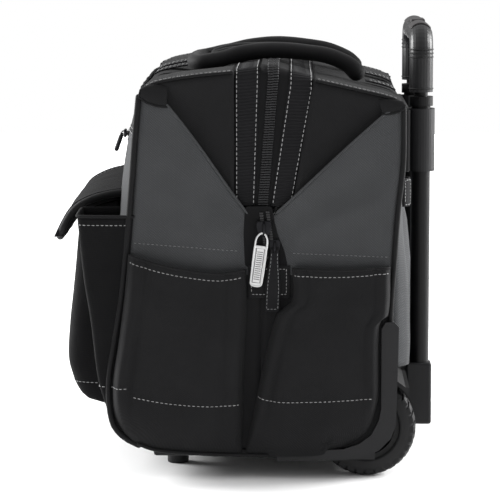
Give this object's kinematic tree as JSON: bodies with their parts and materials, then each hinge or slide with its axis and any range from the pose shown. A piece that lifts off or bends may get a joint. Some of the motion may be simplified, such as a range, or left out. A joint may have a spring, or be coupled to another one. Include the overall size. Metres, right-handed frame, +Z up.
{
  "type": "wheeled ball bag",
  "caption": "Wheeled soft bag with a framed wide mouth, zip, outside pockets, two padded carry handles and a telescoping trolley handle.",
  "frame": {"origin": "on the floor, at mid-length of the bag and midway between the tip of the pocket flap and the back of the trolley bracket", "axes": "+X from the front pocket to the trolley handle, +Y along the bag away from the end with the zip sliders, +Z up"},
  "size_m": [0.394, 0.4978, 0.4548],
  "materials": {
    "black_fabric": "coarse black polyester weave",
    "grey_canvas": "charcoal grey diagonal weave",
    "webbing": "ribbed black webbing with light stitching",
    "foam": "closed cell foam",
    "black_plastic": "moulded, fine grain",
    "tube_enamel": "satin black enamel",
    "steel": "bright zinc",
    "zip_coil": "black nylon coil and tape",
    "tyre_rubber": "moulded tread blocks"
  },
  "bodies": {
    "carcass": {"base_tray": "black_plastic", "ball_cradle": "foam", "front_wall": "grey_canvas", "back_wall": "grey_canvas", "end_wall_near": "grey_canvas", "end_wall_far": "grey_canvas", "end_pocket_near_front": "black_fabric", "end_pocket_near_rear": "black_fabric", "end_pocket_far_front": "black_fabric", "end_pocket_far_rear": "black_fabric", "cargo_pocket": "black_fabric", "side_pocket_near": "black_fabric", "side_pocket_far": "black_fabric", "front_zip": "zip_coil", "zip_stop_near": "black_fabric", "zip_stop_far": "black_fabric", "wheel_carrier": "black_plastic", "axle": "steel", "corner_guard_near": "black_plastic", "corner_guard_far": "black_plastic", "upper_bracket": "black_plastic", "lower_bracket_near": "black_plastic", "lower_bracket_far": "black_plastic", "outer_tube_near": "tube_enamel", "outer_tube_far": "tube_enamel", "keeper_tab_near": "webbing", "keeper_tab_far": "webbing", "foot_near": "black_plastic", "foot_far": "black_plastic", "pivot_pin_near": "steel", "pivot_pin_far": "steel", "top_panel_front": "black_fabric", "top_panel_rear": "black_fabric", "handle_mount_front": "webbing", "handle_mount_rear": "webbing"},
    "wheel_near": {"wheel_near_hub": "black_plastic", "wheel_near_tyre": "tyre_rubber"},
    "wheel_far": {"wheel_far_hub": "black_plastic", "wheel_far_tyre": "tyre_rubber"},
    "middle_stage": {"middle_tube_near": "tube_enamel", "middle_tube_far": "tube_enamel"},
    "inner_stage": {"inner_tube_near": "tube_enamel", "inner_tube_far": "tube_enamel", "grip": "black_plastic"},
    "button": {"release_button": "black_plastic"},
    "mouth_front": {"mouth_bow_front": "steel", "mouth_strip_front": "webbing", "zip_half_front": "zip_coil"},
    "mouth_rear": {"mouth_bow_rear": "steel", "mouth_strip_rear": "webbing", "zip_half_rear": "zip_coil"},
    "upper_slider": {"slider_upper": "steel"},
    "metal_pull": {"pull_metal": "steel"},
    "lower_slider": {"slider_lower": "steel"},
    "webbing_pull": {"pull_webbing": "webbing"},
    "front_handle": {"carry_handle_front": "black_fabric"},
    "rear_handle": {"carry_handle_rear": "black_fabric"},
    "flap": {"cargo_flap": "black_fabric"},
    "pocket_zip_slider": {"front_zip_slider": "steel"},
    "pocket_zip_pull": {"front_zip_pull": "webbing"}
  },
  "joints": [
    {"name": "wheel_near_spin", "type": "hinge", "parent": "carcass", "child": "wheel_near", "pos_m": [0.125, -0.2005, 0.05], "axis": [0, 1, 0], "continuous": true},
    {"name": "wheel_far_spin", "type": "hinge", "parent": "carcass", "child": "wheel_far", "pos_m": [0.125, 0.2005, 0.05], "axis": [0, 1, 0], "continuous": true},
    {"name": "middle_stage_slide", "type": "slide", "parent": "carcass", "child": "middle_stage", "axis": [0, 0, 1], "range_m": [0, 0.26]},
    {"name": "inner_stage_slide", "type": "slide", "parent": "middle_stage", "child": "inner_stage", "axis": [0, 0, 1], "range_m": [0, 0.26]},
    {"name": "button_press", "type": "slide", "parent": "inner_stage", "child": "button", "axis": [0, 0, -1], "range_m": [0, 0.004], "stiffness_N_per_m": 800, "springref_m": -0.002},
    {"name": "mouth_front_hinge", "type": "hinge", "parent": "carcass", "child": "mouth_front", "pos_m": [0.016, 0, 0.254], "axis": [0, -1, 0], "range_deg": [0, 35], "deforming": ["top_panel_front"]},
    {"name": "mouth_rear_hinge", "type": "hinge", "parent": "carcass", "child": "mouth_rear", "pos_m": [0.016, 0, 0.254], "axis": [0, 1, 0], "range_deg": [0, 40], "deforming": ["top_panel_rear"]},
    {"name": "upper_slider_slide", "type": "slide", "parent": "carcass", "child": "upper_slider", "axis": [0, 0, 1], "range_m": [0, 0.135]},
    {"name": "metal_pull_hinge", "type": "hinge", "parent": "upper_slider", "child": "metal_pull", "pos_m": [0.021, -0.235, 0.251], "axis": [-1, 0, 0], "range_deg": [0, 100]},
    {"name": "lower_slider_slide", "type": "slide", "parent": "carcass", "child": "lower_slider", "axis": [0, 0, 1], "range_m": [0, 0.0025]},
    {"name": "webbing_pull_hinge", "type": "hinge", "parent": "lower_slider", "child": "webbing_pull", "pos_m": [0.0318, -0.2328, 0.2345], "axis": [-1, 0, 0], "range_deg": [0, 100]},
    {"name": "front_handle_hinge", "type": "hinge", "parent": "carcass", "child": "front_handle", "pos_m": [-0.034, 0, 0.417], "axis": [0, -1, 0], "range_deg": [0, 70]},
    {"name": "rear_handle_hinge", "type": "hinge", "parent": "carcass", "child": "rear_handle", "pos_m": [0.115, 0, 0.4046], "axis": [0, 1, 0], "range_deg": [0, 100]},
    {"name": "flap_hinge", "type": "hinge", "parent": "carcass", "child": "flap", "pos_m": [-0.131, 0, 0.283], "axis": [0, 1, 0], "range_deg": [0, 75]},
    {"name": "pocket_zip_slide", "type": "slide", "parent": "carcass", "child": "pocket_zip_slider", "axis": [0, 1, 0], "range_m": [0, 0.23]},
    {"name": "pocket_zip_pull_hinge", "type": "hinge", "parent": "pocket_zip_slider", "child": "pocket_zip_pull", "pos_m": [-0.127, -0.115, 0.341], "axis": [0, 1, 0], "range_deg": [0, 90]}
  ]
}
